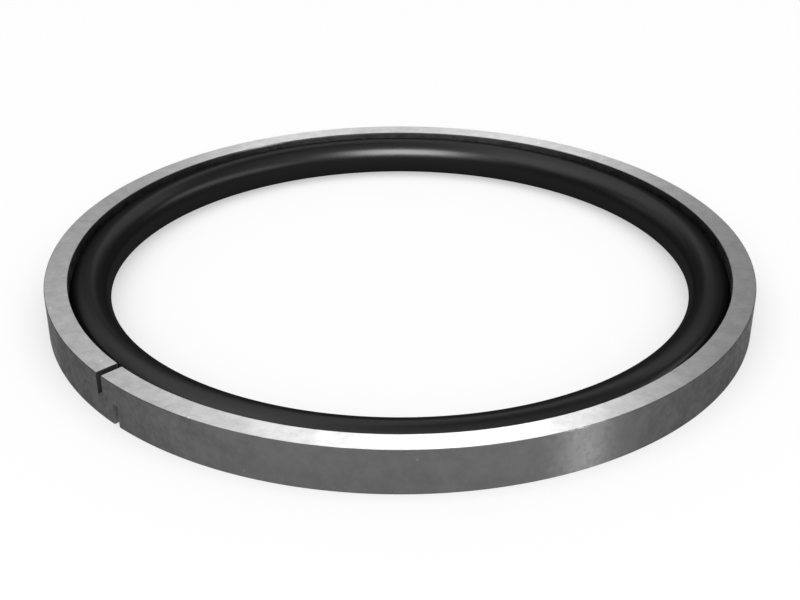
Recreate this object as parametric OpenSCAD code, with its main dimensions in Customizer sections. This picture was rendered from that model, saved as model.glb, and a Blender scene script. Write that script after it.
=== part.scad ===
// Step-cut piston seal: a split slide ring, pressed outward by an O-ring inside it.
// The origin is the centre of the slide ring's lower flank, +Z is the seal's axis,
// and the ring's joint is centred on -Y.

/* [Slide ring] */
// Outer diameter, which is the cylinder bore that the seal runs in
bore_d = 120; // [90:1:320]
// Radial thickness of the slide ring
ring_t = 3.8; // [2.5:0.1:8]
// Height of the slide ring between its flanks
ring_h = 7.3; // [7:0.1:14]
// Edge break on the four rims of the slide ring
edge_break = 0.1; // [0.05:0.01:0.5]

/* [Step-cut joint] */
// Width of the open slot at each tongue's tip
slot_w = 1.32; // [0.4:0.02:4]
// Length over which the two tongues lap each other
lap_len = 2.32; // [1:0.02:12]
// Clearance between the lapped faces of the tongues
lap_gap = 0.05; // [0.02:0.01:0.3]

/* [O-ring] */
// Diameter of the O-ring's section
cord_d = 7; // [4:0.1:7.3]
// Depth to which the O-ring is pressed flat against the slide ring
squeeze = 0.22; // [0.05:0.01:0.6]

/* [Hidden] */
$fn = 240;
ring_r = bore_d / 2;
seat_r = ring_r - ring_t;
mid_z = ring_h / 2;
cord_path_r = seat_r + squeeze - cord_d / 2;
// How far a cutting shape runs past the faces that it cuts
past = 1;

// Section of the slide ring at its radius: a tall rectangle with broken corners
module ring_section() {
    polygon([
        [seat_r + edge_break, 0],
        [ring_r - edge_break, 0],
        [ring_r, edge_break],
        [ring_r, ring_h - edge_break],
        [ring_r - edge_break, ring_h],
        [seat_r + edge_break, ring_h],
        [seat_r, ring_h - edge_break],
        [seat_r, edge_break]
    ]);
}

// Slot through the ring's whole thickness, from the lap face out through one flank.
// The side is -1 or 1 along X, measured from the middle of the joint.
module tip_slot(side, z_from, z_to) {
    translate([side * (lap_len + slot_w) / 2 - slot_w / 2, -ring_r - past, z_from])
        cube([slot_w, ring_t + 2 * past, z_to - z_from]);
}

// Z-shaped cut of the joint: one slot up, one slot down and the lap between them
module step_cut() {
    tip_slot(-1, mid_z - lap_gap / 2, ring_h + past);
    tip_slot(1, -past, mid_z + lap_gap / 2);
    translate([-(lap_len + slot_w) / 2, -ring_r - past, mid_z - lap_gap / 2])
        cube([lap_len + slot_w, ring_t + 2 * past, lap_gap]);
}

// Split metal ring that seals on the cylinder bore
module slide_ring() {
    color("#8d8e90")
    difference() {
        rotate_extrude()
            ring_section();
        step_cut();
    }
}

// Rubber ring that seats in the slide ring's bore and presses it outward.
// Where it is pressed, its outside is flat and lies on that bore, face to face.
module o_ring() {
    color("#1b1b1d")
    intersection() {
        translate([0, 0, mid_z])
            rotate_extrude()
                translate([cord_path_r, 0])
                    circle(d = cord_d);
        translate([0, 0, mid_z - cord_d])
            cylinder(r = seat_r, h = 2 * cord_d);
    }
}

slide_ring();
o_ring();
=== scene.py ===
# Step-cut piston seal: a split metal slide ring over a black O-ring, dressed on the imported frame.
from math import asin, cos, pi, radians, sin, sqrt

import bmesh
import bpy
from mathutils import Matrix, Vector


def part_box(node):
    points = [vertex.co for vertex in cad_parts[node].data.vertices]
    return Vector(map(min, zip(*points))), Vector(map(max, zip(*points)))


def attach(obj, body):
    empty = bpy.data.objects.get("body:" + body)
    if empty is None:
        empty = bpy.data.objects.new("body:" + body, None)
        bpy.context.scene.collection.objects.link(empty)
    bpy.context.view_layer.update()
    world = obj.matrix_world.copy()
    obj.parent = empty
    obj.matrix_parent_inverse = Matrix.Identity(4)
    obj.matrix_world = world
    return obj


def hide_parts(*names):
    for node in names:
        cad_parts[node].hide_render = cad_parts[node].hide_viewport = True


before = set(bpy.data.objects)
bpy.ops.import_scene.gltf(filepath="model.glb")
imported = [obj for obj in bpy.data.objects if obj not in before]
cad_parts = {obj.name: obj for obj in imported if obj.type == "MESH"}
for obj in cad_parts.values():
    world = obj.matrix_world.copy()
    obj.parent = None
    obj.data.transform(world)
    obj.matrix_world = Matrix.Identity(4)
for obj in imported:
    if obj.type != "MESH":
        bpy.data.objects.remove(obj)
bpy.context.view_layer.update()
mm = 0.001

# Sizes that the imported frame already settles
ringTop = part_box("slide_ring")[1]
cordLow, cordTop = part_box("o_ring")
outerRadius = ringTop.x
ringHeight = ringTop.z
seatRadius = cordTop.x  # the O-ring lies on the slide ring's bore
cordDiameter = cordTop.z - cordLow.z
middle = ringHeight / 2
print("frame: slide ring radius", round(outerRadius / mm, 2), "height", round(ringHeight / mm, 2))


def hexColor(text):
    channels = [int(text[i:i + 2], 16) / 255 for i in (1, 3, 5)]
    return [c / 12.92 if c <= 0.04045 else ((c + 0.055) / 1.055) ** 2.4 for c in channels] + [1]


def addNode(tree, kind, settings):
    # Each setting is an input or a property of the node, and a socket given as the value is linked.
    # A Mix node's inputs are 0 for the share, 2 and 3 for numbers and 6 and 7 for colours.
    node = tree.nodes.new(kind)
    for key, value in settings.items():
        if isinstance(value, bpy.types.NodeSocket):
            tree.links.new(value, node.inputs[key])
        elif isinstance(key, int) or key in node.inputs:
            node.inputs[key].default_value = value
        else:
            setattr(node, key, value)
    return node


def newMaterial(name):
    material = bpy.data.materials.new(name)
    material.use_nodes = True
    material.node_tree.nodes.clear()
    return material, material.node_tree


def finishPiece(bm, name, materials, sharpAngle=30):
    mesh = bpy.data.meshes.new(name)
    bm.to_mesh(mesh)
    bm.free()
    for material in materials:
        mesh.materials.append(material)
    mesh.shade_smooth()
    mesh.set_sharp_from_angle(angle=radians(sharpAngle))
    piece = bpy.data.objects.new(name, mesh)
    bpy.context.collection.objects.link(piece)
    return piece


# Camera: the joint faces the viewer's left, and the lamps' azimuths are measured round the same way
cameraSetup = {
    "turn": 45.44,  # degrees round the seal, from a view straight at the joint
    "distance": 203.43 * mm,  # level distance from the seal's axis
    "height": 107.43 * mm,
    "tilt": 28.374,  # degrees below level
    "lens": 58.91,
    "sensor": 36,
    "nearest": 10 * mm,
}


def makeCamera(setup):
    data = bpy.data.cameras.new("camera")
    data.lens = setup["lens"]
    data.sensor_width = setup["sensor"]
    data.clip_start = setup["nearest"]
    camera = bpy.data.objects.new("camera", data)
    bpy.context.collection.objects.link(camera)
    turn = radians(setup["turn"])
    camera.location = (setup["distance"] * sin(turn), -setup["distance"] * cos(turn), setup["height"])
    camera.rotation_euler = (radians(90 - setup["tilt"]), 0, turn)
    bpy.context.scene.camera = camera


makeCamera(cameraSetup)
print("camera made")

# Nearly all the values of a noise lie between these two, and a tone or a gloss is spread over them
noiseSpread = {"From Min": 0.3, "From Max": 0.7}


def stainedColor(tree, look, place, stain, marks):
    # Clouds between two tones, a share of them drawn out along the tool's marks, and sparse bright specks
    speck = addNode(tree, "ShaderNodeTexVoronoi", {
        "Vector": place, "Scale": 1 / look["speckSpacing"]}).outputs["Distance"]
    bright = addNode(tree, "ShaderNodeMapRange", {
        "Value": speck, "From Min": 0, "From Max": look["speck"] / look["speckSpacing"],
        "To Min": 1, "To Max": 0}).outputs[0]
    tone = addNode(tree, "ShaderNodeMix", {
        "data_type": "FLOAT", 0: look["markShare"], 2: stain, 3: marks}).outputs[0]
    toneWide = addNode(tree, "ShaderNodeMapRange", {"Value": tone, **noiseSpread}).outputs[0]
    clouded = addNode(tree, "ShaderNodeMix", {
        "data_type": "RGBA", 0: toneWide,
        6: hexColor(look["dark"]), 7: hexColor(look["light"])}).outputs[2]
    return addNode(tree, "ShaderNodeMix", {
        "data_type": "RGBA", 0: bright, 6: clouded, 7: hexColor(look["speckColor"])}).outputs[2]


# Ground grey iron of the flanks: a flat satin grey with a straight grinding lay and soft stains
groundIron = {
    "light": "#bcbcbc",
    "dark": "#9d9d9d",
    "roughness": (0.277, 0.289),
    "markAngle": cameraSetup["turn"],  # degrees, the grinding lay runs across the view
    "markWidth": 0.4 * mm,  # real grit lines are a tenth of this, drawn coarse enough to show
    "markLength": 2.2 * mm,
    "markDepth": 0.0008 * mm,
    "markNoise": {"Detail": 3, "Roughness": 0.6},
    "markShare": 0.2,  # the rest of the tone is stain
    "stain": 2.2 * mm,
    "stainNoise": {"Detail": 5, "Roughness": 0.7},
    "speck": 0.3 * mm,
    "speckSpacing": 4 * mm,
    "speckColor": "#dedede",
}


def makeGroundIron(look):
    material, tree = newMaterial("ground grey iron")
    place = addNode(tree, "ShaderNodeTexCoord", {}).outputs["Object"]
    turned = addNode(tree, "ShaderNodeMapping", {
        "Vector": place, "Rotation": (0, 0, -radians(look["markAngle"]))}).outputs[0]
    stretched = addNode(tree, "ShaderNodeMapping", {
        "Vector": turned,
        "Scale": (1 / look["markLength"], 1 / look["markWidth"], 1 / look["markLength"])}).outputs[0]
    lay = addNode(tree, "ShaderNodeTexNoise", {
        "Vector": stretched, "Scale": 1, **look["markNoise"]}).outputs["Fac"]
    stain = addNode(tree, "ShaderNodeTexNoise", {
        "Vector": place, "Scale": 1 / look["stain"], **look["stainNoise"]}).outputs["Fac"]
    low, high = look["roughness"]
    roughness = addNode(tree, "ShaderNodeMapRange", {
        "Value": stain, "To Min": high, "To Max": low, **noiseSpread}).outputs[0]
    bump = addNode(tree, "ShaderNodeBump", {
        "Height": lay, "Strength": 1, "Distance": look["markDepth"]}).outputs[0]
    shader = addNode(tree, "ShaderNodeBsdfPrincipled", {
        "Base Color": stainedColor(tree, look, place, stain, lay),
        "Metallic": 1, "Roughness": roughness, "Normal": bump})
    addNode(tree, "ShaderNodeOutputMaterial", {"Surface": shader.outputs[0]})
    return material


# Turned grey iron of the outer face and the bore: its base is darker than the flanks', painted shade for
# the dark surroundings that these upright faces reflect, and it is marked round the ring
shadedTurnedIron = {
    # painted shade: these two tones sit far below the flanks' iron, for the dark surroundings that the
    # upright faces reflect
    "light": "#6c6c6c",
    "dark": "#5f5f5f",
    "edgeTint": "#b8b8b8",
    "roughness": (0.31, 0.47),
    "anisotropy": 0.88,  # turning marks spread a reflection up and down, and keep it narrow round the ring
    "anisotropyTurn": 0.25,  # turns, from the horizontal to the upright
    "markWidth": 0.3 * mm,  # a real feed mark is a third of this, drawn coarse enough to show
    "markLength": 9 * mm,
    "markDepth": 0.0003 * mm,
    "markNoise": {"Detail": 3, "Roughness": 0.6},
    "markShare": 0.1,  # the rest of the tone is stain
    "stain": 3.5 * mm,
    "stainNoise": {"Detail": 6, "Roughness": 0.72},
    "mottle": 0.9 * mm,
    "mottleNoise": {"Detail": 2, "Roughness": 0.5},
    "mottleShare": 0.55,  # of the changes in gloss, which show in a lamp's reflection as small blotches
    "mottleSpread": {"From Min": 0.42, "From Max": 0.58},  # narrow, which gives the blotches their edges
    "speck": 0.3 * mm,
    "speckSpacing": 4 * mm,
    "speckColor": "#8c8c8c",
}


def makeTurnedIron(look):
    material, tree = newMaterial("turned grey iron with painted shade")
    place = addNode(tree, "ShaderNodeTexCoord", {}).outputs["Object"]
    stretched = addNode(tree, "ShaderNodeMapping", {
        "Vector": place,
        "Scale": (1 / look["markLength"], 1 / look["markLength"], 1 / look["markWidth"])}).outputs[0]
    marks = addNode(tree, "ShaderNodeTexNoise", {
        "Vector": stretched, "Scale": 1, **look["markNoise"]}).outputs["Fac"]
    stain = addNode(tree, "ShaderNodeTexNoise", {
        "Vector": place, "Scale": 1 / look["stain"], **look["stainNoise"]}).outputs["Fac"]
    mottle = addNode(tree, "ShaderNodeTexNoise", {
        "Vector": place, "Scale": 1 / look["mottle"], **look["mottleNoise"]}).outputs["Fac"]
    polish = addNode(tree, "ShaderNodeMix", {
        "data_type": "FLOAT", 0: look["mottleShare"], 2: stain, 3: mottle}).outputs[0]
    low, high = look["roughness"]
    roughness = addNode(tree, "ShaderNodeMapRange", {
        "Value": polish, "To Min": high, "To Max": low, **look["mottleSpread"]}).outputs[0]
    bump = addNode(tree, "ShaderNodeBump", {
        "Height": marks, "Strength": 1, "Distance": look["markDepth"]}).outputs[0]
    shader = addNode(tree, "ShaderNodeBsdfPrincipled", {
        "Base Color": stainedColor(tree, look, place, stain, marks),
        "Metallic": 1, "Roughness": roughness, "Normal": bump,
        "Specular Tint": hexColor(look["edgeTint"]),
        "Anisotropic": look["anisotropy"], "Anisotropic Rotation": look["anisotropyTurn"]})
    addNode(tree, "ShaderNodeOutputMaterial", {"Surface": shader.outputs[0]})
    return material


# Sawn grey iron of the joint's lap and lower slot: matt, with the saw's lines up and down
sawnIron = {
    "name": "sawn grey iron",
    "light": "#8c8c8c",
    "dark": "#7e7e7e",
    "roughness": (0.75, 0.85),
    "lineWidth": 0.15 * mm,  # coarser than a saw's own lines, as wide as the render can show
    "lineLength": 3 * mm,
    "lineDepth": 0.0005 * mm,
    "lineNoise": {"Detail": 2, "Roughness": 0.5},
}

# The same sawn grey iron for the upper slot's walls: as matt, with darker tones that are painted shade for
# the narrow slot, dark enough to read as a black line
shadedSlotIron = {
    **sawnIron,
    "name": "upper slot sawn iron, painted shade",
    # painted shade: darker tones than the lap's sawn iron, for the narrow slot's depth
    "light": "#545454",
    "dark": "#4b4b4b",
}


def makeSawnIron(look):
    material, tree = newMaterial(look["name"])
    place = addNode(tree, "ShaderNodeTexCoord", {}).outputs["Object"]
    stretched = addNode(tree, "ShaderNodeMapping", {
        "Vector": place,
        "Scale": (1 / look["lineWidth"], 1 / look["lineWidth"], 1 / look["lineLength"])}).outputs[0]
    lines = addNode(tree, "ShaderNodeTexNoise", {
        "Vector": stretched, "Scale": 1, **look["lineNoise"]}).outputs["Fac"]
    color = addNode(tree, "ShaderNodeMix", {
        "data_type": "RGBA", 0: lines, 6: hexColor(look["dark"]), 7: hexColor(look["light"])}).outputs[2]
    low, high = look["roughness"]
    roughness = addNode(tree, "ShaderNodeMapRange", {
        "Value": lines, "To Min": high, "To Max": low, **noiseSpread}).outputs[0]
    bump = addNode(tree, "ShaderNodeBump", {
        "Height": lines, "Strength": 1, "Distance": look["lineDepth"]}).outputs[0]
    shader = addNode(tree, "ShaderNodeBsdfPrincipled", {
        "Base Color": color, "Metallic": 1, "Roughness": roughness, "Normal": bump})
    addNode(tree, "ShaderNodeOutputMaterial", {"Surface": shader.outputs[0]})
    return material


# Slide ring: a rectangular section spun nearly all the way round, with a tongue drawn out of each end
slideRing = {
    "slotWidth": 1.32 * mm,
    "lapLength": 2.32 * mm,
    "lapGap": 0.05 * mm,
    "edgeBreak": 0.1 * mm,
    "edgeSegments": 2,
    "turnSteps": 720,
    "tongueSteps": 8,
    "slack": 0.02 * mm,  # places closer than this are taken as the same
    "sharpEdge": 60,  # degrees between faces, from which a corner is broken
    "sharpShading": 20,  # degrees between faces, from which the shading shows an edge
    "flankNormal": 0.95,  # a face that looks up or down at least this much has been ground
}


def facesUpward(faces):
    return sorted(faces, key=lambda face: face.calc_center_median().z)


def sweep(bm, faces, angle, steps):
    # Spins the faces about the seal's axis and gives the faces that the spin ends with, from the lowest up
    parts = set(faces)
    for face in faces:
        parts.update(face.verts, face.edges)
    made = bmesh.ops.spin(
        bm, geom=list(parts), cent=(0, 0, 0), axis=(0, 0, 1), dvec=(0, 0, 0), angle=angle, steps=steps,
        use_merge=False, use_normal_flip=False, use_duplicate=False)
    return facesUpward(item for item in made["geom_last"] if isinstance(item, bmesh.types.BMFace))


def squareEnd(verts, wall):
    # The joint's walls run parallel to its middle line, so an end's points move round into one plane
    for vert in verts:
        vert.co.y = -sqrt(vert.co.x ** 2 + vert.co.y ** 2 - wall ** 2)
        vert.co.x = wall


def onBrokenRim(edge, part):
    # The rims round the ring are broken, and the joint's own corners stay as sawn
    one, other = [Vector((vert.co.x, vert.co.y, 0)).length for vert in edge.verts]
    alongRim = abs(one - other) < part["slack"]
    level = all(min(abs(vert.co.z), abs(vert.co.z - ringHeight)) < part["slack"] for vert in edge.verts)
    return level and alongRim and edge.calc_face_angle_signed() > radians(part["sharpEdge"])


def inJoint(center, part, wallX):
    # The joint's own faces lie inside the section and between the slots' outer walls
    depth = outerRadius - sqrt(center.x ** 2 + center.y ** 2)
    between = abs(center.x) < wallX + part["slack"] and center.y < 0
    inside = part["edgeBreak"] < depth < outerRadius - seatRadius - part["edgeBreak"]
    return between and inside and part["edgeBreak"] < center.z < ringHeight - part["edgeBreak"]


def makeSlideRing(part, materials):
    tipX = part["lapLength"] / 2
    wallX = tipX + part["slotWidth"]
    wallAngle = asin(wallX / outerRadius)
    tongueAngle = wallAngle + asin(tipX / outerRadius)
    lapLow = middle - part["lapGap"] / 2
    lapHigh = middle + part["lapGap"] / 2

    # The section's three faces are the lower tongue, the lap gap and the upper tongue
    bm = bmesh.new()
    bmesh.ops.create_grid(bm, x_segments=1, y_segments=3, size=0.5)
    rows = sorted({round(vert.co.y, 4) for vert in bm.verts})
    levels = dict(zip(rows, (0, lapLow, lapHigh, ringHeight)))
    for vert in bm.verts:
        radius = outerRadius if vert.co.x > 0 else seatRadius
        vert.co = (0, -radius, levels[round(vert.co.y, 4)])
    bmesh.ops.rotate(bm, verts=bm.verts[:], cent=(0, 0, 0), matrix=Matrix.Rotation(wallAngle, 3, "Z"))

    # The ring runs from one wall of the joint to the other, then the upper and the lower tongue run back
    rightEnd = facesUpward(bm.faces)
    leftEnd = sweep(bm, rightEnd, 2 * pi - 2 * wallAngle, part["turnSteps"])
    ends = [({vert for face in rightEnd for vert in face.verts}, wallX),
            ({vert for face in leftEnd for vert in face.verts}, -wallX)]
    upperTip = sweep(bm, rightEnd[-1:], -tongueAngle, part["tongueSteps"])
    lowerTip = sweep(bm, leftEnd[:1], tongueAngle, part["tongueSteps"])
    ends += [(upperTip[0].verts, -tipX), (lowerTip[0].verts, tipX)]
    for verts, x in ends:
        squareEnd(verts, x)
    bmesh.ops.recalc_face_normals(bm, faces=bm.faces[:])

    corners = [edge for edge in bm.edges if onBrokenRim(edge, part)]
    bmesh.ops.bevel(
        bm, geom=corners, offset=part["edgeBreak"], offset_type="OFFSET", affect="EDGES",
        segments=part["edgeSegments"], profile=0.5, material=-1, clamp_overlap=False)
    bmesh.ops.recalc_face_normals(bm, faces=bm.faces[:])

    ground, turned, sawn, dark = range(len(materials))
    for face in bm.faces:
        center = face.calc_center_median()
        # Upright faces take the turned iron, whose darker base is painted shade
        face.material_index = ground if abs(face.normal.z) > part["flankNormal"] else turned
        if inJoint(center, part, wallX):
            # The upper slot's faces take the darker copy, painted shade for the slot; the lap and lower
            # slot keep the sawn iron's own tone
            face.material_index = sawn if center.z < lapHigh + part["slack"] else dark
    openEdges = sum(not edge.is_manifold for edge in bm.edges)
    print("slide ring:", len(corners), "corners broken, open edges:", openEdges)
    return finishPiece(bm, "slideRing", materials, part["sharpShading"])


ironFinishes = [
    makeGroundIron(groundIron), makeTurnedIron(shadedTurnedIron), makeSawnIron(sawnIron), makeSawnIron(shadedSlotIron)]
slideRingPiece = makeSlideRing(slideRing, ironFinishes)
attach(slideRingPiece, "root")
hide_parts("slide_ring")


# Moulded nitrile rubber: matt and near black under a thin waxy bloom, which shows soft lamps as bands
nitrile = {
    "light": "#0c0c0c",
    "dark": "#090909",
    "roughness": (0.62, 0.7),
    "ior": 1.52,
    "specular": 0,  # all the gloss is the wax's
    "waxCover": 0.04,
    "waxRoughness": 0.3,
    "waxIor": 3,  # far over real wax, so that with the thin cover it stays dark at glancing angles too
    "bloom": 5 * mm,
    "bloomNoise": {"Detail": 4, "Roughness": 0.6},
    "grain": 0.2 * mm,  # a moulded face is finer still, drawn as fine as the render can show
    "grainNoise": {"Detail": 2, "Roughness": 0.5},
    "grainDepth": 0.001 * mm,
}


def makeNitrile(look):
    material, tree = newMaterial("moulded nitrile rubber")
    place = addNode(tree, "ShaderNodeTexCoord", {}).outputs["Object"]
    bloom = addNode(tree, "ShaderNodeTexNoise", {
        "Vector": place, "Scale": 1 / look["bloom"], **look["bloomNoise"]}).outputs["Fac"]
    grain = addNode(tree, "ShaderNodeTexNoise", {
        "Vector": place, "Scale": 1 / look["grain"], **look["grainNoise"]}).outputs["Fac"]
    color = addNode(tree, "ShaderNodeMix", {
        "data_type": "RGBA", 0: bloom, 6: hexColor(look["dark"]), 7: hexColor(look["light"])}).outputs[2]
    low, high = look["roughness"]
    roughness = addNode(tree, "ShaderNodeMapRange", {
        "Value": bloom, "To Min": low, "To Max": high, **noiseSpread}).outputs[0]
    bump = addNode(tree, "ShaderNodeBump", {
        "Height": grain, "Strength": 1, "Distance": look["grainDepth"]}).outputs[0]
    shader = addNode(tree, "ShaderNodeBsdfPrincipled", {
        "Base Color": color, "Roughness": roughness, "Normal": bump,
        "IOR": look["ior"], "Specular IOR Level": look["specular"], "Coat Weight": look["waxCover"],
        "Coat Roughness": look["waxRoughness"], "Coat IOR": look["waxIor"]})
    addNode(tree, "ShaderNodeOutputMaterial", {"Surface": shader.outputs[0]})
    return material


# O-ring: a round section, flat where it is pressed on the slide ring's bore, spun all the way round
oRing = {
    "squeeze": 0.22 * mm,
    "sectionSteps": 96,
    "turnSteps": 480,
}


def makeORing(part, rubber):
    radius = cordDiameter / 2
    bm = bmesh.new()
    bmesh.ops.create_circle(bm, cap_ends=False, radius=radius, segments=part["sectionSteps"])
    bmesh.ops.rotate(bm, verts=bm.verts[:], cent=(0, 0, 0), matrix=Matrix.Rotation(pi / 2, 3, "X"))
    bmesh.ops.translate(bm, verts=bm.verts[:], vec=(seatRadius + part["squeeze"] - radius, 0, middle))
    for vert in bm.verts:
        vert.co.x = min(vert.co.x, seatRadius)
    bmesh.ops.spin(
        bm, geom=bm.verts[:] + bm.edges[:], cent=(0, 0, 0), axis=(0, 0, 1), dvec=(0, 0, 0), angle=2 * pi,
        steps=part["turnSteps"], use_merge=True, use_normal_flip=False, use_duplicate=False)
    bmesh.ops.recalc_face_normals(bm, faces=bm.faces[:])
    print("O-ring: open edges:", sum(not edge.is_manifold for edge in bm.edges))
    return finishPiece(bm, "oRing", [rubber])


oRingPiece = makeORing(oRing, makeNitrile(nitrile))
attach(oRingPiece, "root")
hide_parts("o_ring")


# Studio: a white floor under a plain sky, which is white down at the horizon and grey above it
studio = {
    "floorSize": 6,
    "floorDrop": 0.01 * mm,  # keeps the floor's plane off the underside that rests on it
    "floorColor": "#fcfcfc",
    "shownColor": "#ffffff",  # mixed into the floor for the camera and for reflections alone
    "shownShare": 0.5,  # softens the shadow that is seen on the floor
    "horizonColor": "#ffffff",
    "skyColor": "#9e9e9e",
    "skyFrom": 0,  # degrees of elevation, between which the sky turns from white to grey
    "skyTo": 9,
    "lampDistance": 3,
}

# Azimuth in degrees from the viewer's right, 90 straight behind the seal and -90 over the camera.
# The hard-edged softboxes are flagged off the piece that they aren't meant for, as cards would do it.
lamps = {
    "top softbox": {
        "azimuth": -90, "elevation": 62, "size": (6, 6), "roll": 0, "radiance": 1.38, "aim": None},
    "back strip left": {
        "azimuth": 93.5, "elevation": 33.3, "size": (0.34, 1.11), "roll": 14.5, "radiance": 3.6,
        "aim": slideRingPiece},
    "back strip right": {
        "azimuth": 84.2, "elevation": 32.9, "size": (0.42, 0.91), "roll": 0.5, "radiance": 4.2,
        "aim": slideRingPiece},
    "left softbox": {
        "azimuth": 109, "elevation": 35, "size": (0.79, 0.79), "roll": 0, "radiance": 1,
        "aim": slideRingPiece},
    "low kicker": {
        "azimuth": -37.5, "elevation": 2, "size": (0.15, 0.15), "roll": 0, "radiance": 450,
        "aim": slideRingPiece},
    "low fill": {
        "azimuth": -69, "elevation": 2, "size": (1.5, 0.15), "roll": 0, "radiance": 7,
        "aim": slideRingPiece},
    "left low fill": {
        "azimuth": -128, "elevation": 2, "size": (3.6, 0.15), "roll": 0, "radiance": 4.5,
        "aim": slideRingPiece},
    "front key": {
        "azimuth": -91.7, "elevation": 41.3, "size": (1.8, 1.74), "roll": 0, "radiance": 51,
        "aim": oRingPiece},
    "rear bank": {
        "azimuth": 69.7, "elevation": 38.8, "size": (2.78, 0.78), "roll": -11, "radiance": 4.2,
        "aim": oRingPiece},
    "left bank": {
        "azimuth": 155, "elevation": 56.8, "size": (5, 2.05), "roll": -3, "radiance": 3.85,
        "aim": oRingPiece},
    "left low bank": {
        "azimuth": 146, "elevation": 25.2, "size": (2.43, 0.68), "roll": -15, "radiance": 2.7,
        "aim": oRingPiece},
    "right bank": {
        "azimuth": -9.5, "elevation": 28.4, "size": (3.63, 0.79), "roll": 6, "radiance": 8,
        "aim": oRingPiece},
}


def makeSky(setup):
    world = bpy.data.worlds.new("sky")
    bpy.context.scene.world = world
    world.use_nodes = True
    tree = world.node_tree
    tree.nodes.clear()
    direction = addNode(tree, "ShaderNodeTexCoord", {}).outputs["Generated"]
    up = addNode(tree, "ShaderNodeSeparateXYZ", {0: direction}).outputs["Z"]
    height = addNode(tree, "ShaderNodeMapRange", {
        "interpolation_type": "SMOOTHSTEP", "Value": up,
        "From Min": sin(radians(setup["skyFrom"])), "From Max": sin(radians(setup["skyTo"]))}).outputs[0]
    color = addNode(tree, "ShaderNodeMix", {
        "data_type": "RGBA", 0: height,
        6: hexColor(setup["horizonColor"]), 7: hexColor(setup["skyColor"])}).outputs[2]
    light = addNode(tree, "ShaderNodeBackground", {"Color": color}).outputs[0]
    addNode(tree, "ShaderNodeOutputWorld", {"Surface": light})


def makeFloor(setup):
    material, tree = newMaterial("matt white card")
    matt = addNode(tree, "ShaderNodeBsdfDiffuse", {"Color": hexColor(setup["floorColor"])}).outputs[0]
    white = addNode(tree, "ShaderNodeEmission", {
        "Color": hexColor(setup["shownColor"]), "Strength": 1}).outputs[0]
    rays = addNode(tree, "ShaderNodeLightPath", {}).outputs
    mirrored = addNode(tree, "ShaderNodeMath", {
        "operation": "MAXIMUM", 0: rays["Is Glossy Ray"], 1: rays["Is Transmission Ray"]}).outputs[0]
    seen = addNode(tree, "ShaderNodeMath", {
        "operation": "MAXIMUM", 0: rays["Is Camera Ray"], 1: mirrored}).outputs[0]
    share = addNode(tree, "ShaderNodeMath", {
        "operation": "MULTIPLY", 0: seen, 1: setup["shownShare"]}).outputs[0]
    card = addNode(tree, "ShaderNodeMixShader", {0: share, 1: matt, 2: white}).outputs[0]
    addNode(tree, "ShaderNodeOutputMaterial", {"Surface": card})
    material.cycles.emission_sampling = "NONE"  # the white is only seen, and lights nothing
    bm = bmesh.new()
    bmesh.ops.create_grid(bm, x_segments=1, y_segments=1, size=setup["floorSize"] / 2)
    bmesh.ops.translate(bm, verts=bm.verts[:], vec=(0, 0, -setup["floorDrop"]))
    finishPiece(bm, "floor", [material])


def makeLamp(name, setup, turn, distance):
    data = bpy.data.lights.new(name, "AREA")
    data.shape = "RECTANGLE"
    data.size, data.size_y = setup["size"]
    data.energy = setup["radiance"] * pi * data.size * data.size_y
    lamp = bpy.data.objects.new(name, data)
    bpy.context.collection.objects.link(lamp)
    azimuth, elevation = radians(setup["azimuth"] + turn), radians(setup["elevation"])
    toLamp = Vector((cos(elevation) * cos(azimuth), cos(elevation) * sin(azimuth), sin(elevation)))
    lamp.location = toLamp * distance
    lamp.rotation_euler = (-toLamp).to_track_quat("-Z", "Y").to_euler()
    lamp.rotation_euler.rotate_axis("Z", radians(setup["roll"]))
    if setup["aim"]:
        aimed = bpy.data.collections.new(name)
        aimed.objects.link(setup["aim"])
        lamp.light_linking.receiver_collection = aimed
        lamp.visible_diffuse = False  # it shows in gloss alone


makeSky(studio)
makeFloor(studio)
for lampName, lampSetup in lamps.items():
    makeLamp(lampName, lampSetup, cameraSetup["turn"], studio["lampDistance"])
bpy.context.scene.view_settings.view_transform = "Standard"
print("studio made:", len(lamps), "lamps")
